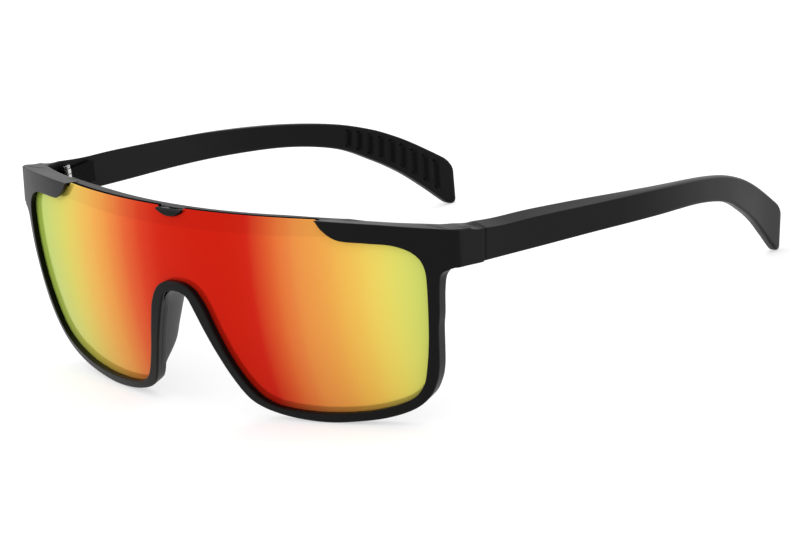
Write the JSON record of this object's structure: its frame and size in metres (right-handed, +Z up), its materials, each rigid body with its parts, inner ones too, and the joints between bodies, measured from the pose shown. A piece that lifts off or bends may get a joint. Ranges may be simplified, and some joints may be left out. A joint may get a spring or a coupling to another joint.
{
  "type": "shield sunglasses",
  "caption": "Wraparound shield sunglasses for mountain use: one mirrored lens in a flat-topped matt frame with moulded nose pads and folding temples.",
  "frame": {"origin": "on the table, in the middle of the footprint's bounding box, under the glasses as they stand open", "axes": "+X to the wearer's left, +Y from the front back to the temple tips, +Z up; the front faces -Y"},
  "size_m": [0.1486, 0.16, 0.052],
  "materials": {
    "frame_nylon": "matt black moulded nylon",
    "temple_nylon": "matt black moulded nylon",
    "lens_mirror": "polycarbonate with a mirror coating from red through orange to yellow-green",
    "hinge_steel": "bright nickelled steel"
  },
  "bodies": {
    "front": {"front_frame": "frame_nylon", "shield_lens": "lens_mirror", "hinge_front_leaf_left": "hinge_steel", "hinge_front_leaf_right": "hinge_steel", "hinge_screw_left": "hinge_steel", "hinge_screw_right": "hinge_steel"},
    "left_temple": {"temple_left": "temple_nylon", "hinge_temple_leaf_left": "hinge_steel"},
    "right_temple": {"temple_right": "temple_nylon", "hinge_temple_leaf_right": "hinge_steel"}
  },
  "joints": [
    {"name": "left_temple_fold", "type": "hinge", "parent": "front", "child": "left_temple", "pos_m": [0.06725, -0.04764, 0.0426], "axis": [0, 0, 1], "range_deg": [0, 80]},
    {"name": "right_temple_fold", "type": "hinge", "parent": "front", "child": "right_temple", "pos_m": [-0.06725, -0.04764, 0.0426], "axis": [0, 0, -1], "range_deg": [0, 85]}
  ]
}
